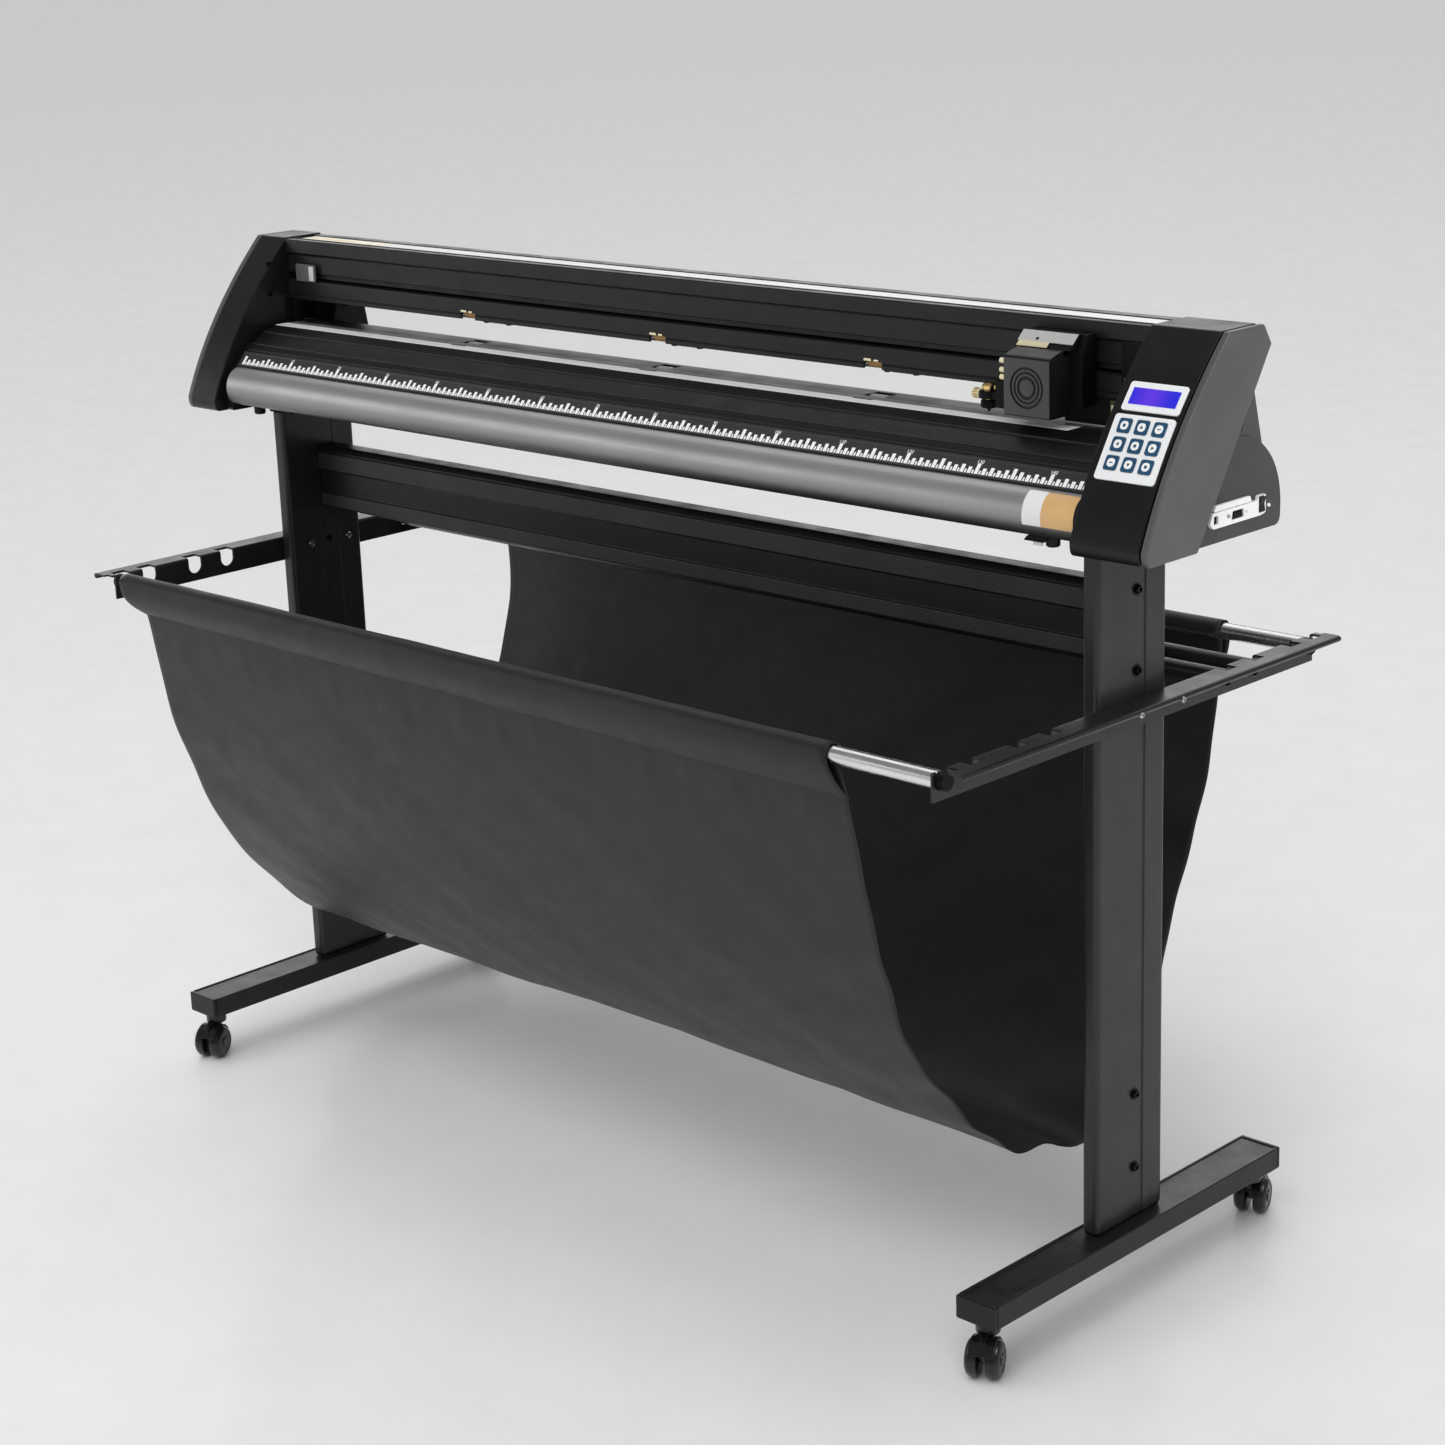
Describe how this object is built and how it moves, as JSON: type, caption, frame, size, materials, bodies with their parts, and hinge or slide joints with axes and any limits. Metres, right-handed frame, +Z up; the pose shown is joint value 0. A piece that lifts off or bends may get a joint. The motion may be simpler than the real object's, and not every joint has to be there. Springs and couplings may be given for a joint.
{
  "type": "vinyl cutter on stand",
  "caption": "Wide roll-fed vinyl cutter on a wheeled stand, with a travelling blade carriage, pinch rollers, control panel and a hanging fabric basket.",
  "frame": {"origin": "on the floor under the middle of the stand", "axes": "+Z up, +X to the operator's right along the cutting width, +Y towards the back"},
  "size_m": [1.64, 0.704, 1.12],
  "materials": {
    "coat": "satin black powder coat",
    "shell": "satin black moulded plastic",
    "fabric": "black woven polyester",
    "rubber": "black rubber",
    "aluminium": "drawn aluminium",
    "steel": "brushed",
    "white": "glossy white",
    "key": "satin navy",
    "tan": "tan polyurethane",
    "brass": "polished"
  },
  "bodies": {
    "stand": {"foot_left": "coat", "foot_right": "coat", "column_left": "coat", "column_right": "coat", "crossbeam": "coat", "arm_left": "coat", "arm_right": "coat", "basket_tube_front": "aluminium", "basket_tube_rear": "aluminium", "basket_fabric": "fabric", "housing_left": "shell", "housing_right": "shell", "rear_cover_left": "shell", "rear_cover_right": "shell", "gantry_beam": "coat", "platen": "coat", "front_apron": "coat", "drive_belt": "rubber", "carriage_motor": "shell", "feed_motor": "shell", "feed_belt": "rubber", "display": "white", "keypad": "white", "port_panel": "white"},
    "fork_front_left": {"caster_fork_front_left": "shell"},
    "wheel_front_left": {"caster_wheel_front_left": "rubber"},
    "fork_front_right": {"caster_fork_front_right": "shell"},
    "wheel_front_right": {"caster_wheel_front_right": "rubber"},
    "fork_rear_left": {"caster_fork_rear_left": "shell"},
    "wheel_rear_left": {"caster_wheel_rear_left": "rubber"},
    "fork_rear_right": {"caster_fork_rear_right": "shell"},
    "wheel_rear_right": {"caster_wheel_rear_right": "rubber"},
    "rod_outer": {"media_rod_outer": "coat"},
    "rod_inner": {"media_rod_inner": "coat"},
    "feed": {"feed_shaft": "steel"},
    "feed_pinion": {"feed_motor_pulley": "aluminium"},
    "pinch_lift": {"lift_shaft": "steel", "pinch_arm_1": "steel", "pinch_arm_2": "steel", "pinch_arm_3": "steel"},
    "pinch_wheel_1": {"pinch_roller_1": "tan"},
    "pinch_wheel_2": {"pinch_roller_2": "tan"},
    "pinch_wheel_3": {"pinch_roller_3": "tan"},
    "carriage": {"carriage_block": "steel", "carriage_cover": "shell"},
    "tool": {"tool_slide": "steel", "blade_holder": "brass"},
    "knob": {"clamp_knob": "brass"},
    "belt_drive": {"drive_pulley": "aluminium"},
    "belt_idler": {"idler_pulley": "aluminium"},
    "button_1": {"key_1": "key"},
    "button_2": {"key_2": "key"},
    "button_3": {"key_3": "key"},
    "button_4": {"key_4": "key"},
    "button_5": {"key_5": "key"},
    "button_6": {"key_6": "key"},
    "button_7": {"key_7": "key"},
    "button_8": {"key_8": "key"},
    "button_9": {"key_9": "key"},
    "rocker": {"power_switch": "rubber"}
  },
  "joints": [
    {"name": "swivel_front_left", "type": "hinge", "parent": "stand", "child": "fork_front_left", "pos_m": [-0.704, -0.25, 0.055], "axis": [0, 0, 1], "continuous": true},
    {"name": "spin_front_left", "type": "hinge", "parent": "fork_front_left", "child": "wheel_front_left", "pos_m": [-0.69766, -0.2636, 0.0225], "axis": [-0.9063, -0.4226, 0], "continuous": true},
    {"name": "swivel_front_right", "type": "hinge", "parent": "stand", "child": "fork_front_right", "pos_m": [0.704, -0.25, 0.055], "axis": [0, 0, 1], "continuous": true},
    {"name": "spin_front_right", "type": "hinge", "parent": "fork_front_right", "child": "wheel_front_right", "pos_m": [0.71034, -0.2636, 0.0225], "axis": [-0.9063, -0.4226, 0], "continuous": true},
    {"name": "swivel_rear_left", "type": "hinge", "parent": "stand", "child": "fork_rear_left", "pos_m": [-0.704, 0.25, 0.055], "axis": [0, 0, 1], "continuous": true},
    {"name": "spin_rear_left", "type": "hinge", "parent": "fork_rear_left", "child": "wheel_rear_left", "pos_m": [-0.70913, 0.2641, 0.0225], "axis": [0.9397, 0.342, 0], "continuous": true},
    {"name": "swivel_rear_right", "type": "hinge", "parent": "stand", "child": "fork_rear_right", "pos_m": [0.704, 0.25, 0.055], "axis": [0, 0, 1], "continuous": true},
    {"name": "spin_rear_right", "type": "hinge", "parent": "fork_rear_right", "child": "wheel_rear_right", "pos_m": [0.69887, 0.2641, 0.0225], "axis": [0.9397, 0.342, 0], "continuous": true},
    {"name": "rod_spin_outer", "type": "hinge", "parent": "stand", "child": "rod_outer", "pos_m": [0, 0.213, 0.702], "axis": [1, 0, 0], "continuous": true},
    {"name": "rod_spin_inner", "type": "hinge", "parent": "stand", "child": "rod_inner", "pos_m": [0, 0.159, 0.702], "axis": [1, 0, 0], "continuous": true},
    {"name": "feed_spin", "type": "hinge", "parent": "stand", "child": "feed", "pos_m": [0, 0.028, 0.9935], "axis": [1, 0, 0], "continuous": true},
    {"name": "feed_pinion_spin", "type": "hinge", "parent": "stand", "child": "feed_pinion", "pos_m": [0.7, 0.028, 0.942], "axis": [1, 0, 0], "continuous": true},
    {"name": "pinch_lever", "type": "hinge", "parent": "stand", "child": "pinch_lift", "pos_m": [0, 0.07, 1.03], "axis": [1, 0, 0], "range_deg": [0, 40]},
    {"name": "pinch_spin_1", "type": "hinge", "parent": "pinch_lift", "child": "pinch_wheel_1", "pos_m": [-0.378, 0.02664, 1.04367], "axis": [1, 0, 0], "continuous": true},
    {"name": "pinch_spin_2", "type": "hinge", "parent": "pinch_lift", "child": "pinch_wheel_2", "pos_m": [-0.024, 0.02664, 1.04367], "axis": [1, 0, 0], "continuous": true},
    {"name": "pinch_spin_3", "type": "hinge", "parent": "pinch_lift", "child": "pinch_wheel_3", "pos_m": [0.328, 0.02664, 1.04367], "axis": [1, 0, 0], "continuous": true},
    {"name": "carriage_slide", "type": "slide", "parent": "stand", "child": "carriage", "axis": [1, 0, 0], "range_m": [-1.235, 0.055]},
    {"name": "tool_lift", "type": "slide", "parent": "carriage", "child": "tool", "axis": [0, 0, 1], "range_m": [-0.004, 0], "stiffness_N_per_m": 900, "springref_m": 0.004},
    {"name": "clamp_screw", "type": "hinge", "parent": "tool", "child": "knob", "pos_m": [0.5, -0.002, 1.028], "axis": [1, 0, 0], "range_deg": [0, 180]},
    {"name": "drive_pulley_spin", "type": "hinge", "parent": "stand", "child": "belt_drive", "pos_m": [0.742, 0.032, 1.07], "axis": [0, 0, 1], "continuous": true},
    {"name": "idler_pulley_spin", "type": "hinge", "parent": "stand", "child": "belt_idler", "pos_m": [-0.735, 0.032, 1.07], "axis": [0, 0, 1], "continuous": true},
    {"name": "press_1", "type": "slide", "parent": "stand", "child": "button_1", "axis": [0, 0.8389, -0.5443], "range_m": [0, 0.001], "stiffness_N_per_m": 400},
    {"name": "press_2", "type": "slide", "parent": "stand", "child": "button_2", "axis": [0, 0.8389, -0.5443], "range_m": [0, 0.001], "stiffness_N_per_m": 400},
    {"name": "press_3", "type": "slide", "parent": "stand", "child": "button_3", "axis": [0, 0.8389, -0.5443], "range_m": [0, 0.001], "stiffness_N_per_m": 400},
    {"name": "press_4", "type": "slide", "parent": "stand", "child": "button_4", "axis": [0, 0.8389, -0.5443], "range_m": [0, 0.001], "stiffness_N_per_m": 400},
    {"name": "press_5", "type": "slide", "parent": "stand", "child": "button_5", "axis": [0, 0.8389, -0.5443], "range_m": [0, 0.001], "stiffness_N_per_m": 400},
    {"name": "press_6", "type": "slide", "parent": "stand", "child": "button_6", "axis": [0, 0.8389, -0.5443], "range_m": [0, 0.001], "stiffness_N_per_m": 400},
    {"name": "press_7", "type": "slide", "parent": "stand", "child": "button_7", "axis": [0, 0.8389, -0.5443], "range_m": [0, 0.001], "stiffness_N_per_m": 400},
    {"name": "press_8", "type": "slide", "parent": "stand", "child": "button_8", "axis": [0, 0.8389, -0.5443], "range_m": [0, 0.001], "stiffness_N_per_m": 400},
    {"name": "press_9", "type": "slide", "parent": "stand", "child": "button_9", "axis": [0, 0.8389, -0.5443], "range_m": [0, 0.001], "stiffness_N_per_m": 400},
    {"name": "power_rocker", "type": "hinge", "parent": "stand", "child": "rocker", "pos_m": [0.803, 0.1005, 0.9225], "axis": [0, 1, 0], "range_deg": [-8, 8]}
  ],
  "couplings": [
    {"joint": "feed_pinion_spin", "follows": "feed_spin", "ratio": 1},
    {"joint": "drive_pulley_spin", "follows": "carriage_slide", "rad_per_m": 117.65},
    {"joint": "idler_pulley_spin", "follows": "carriage_slide", "rad_per_m": 117.65}
  ]
}
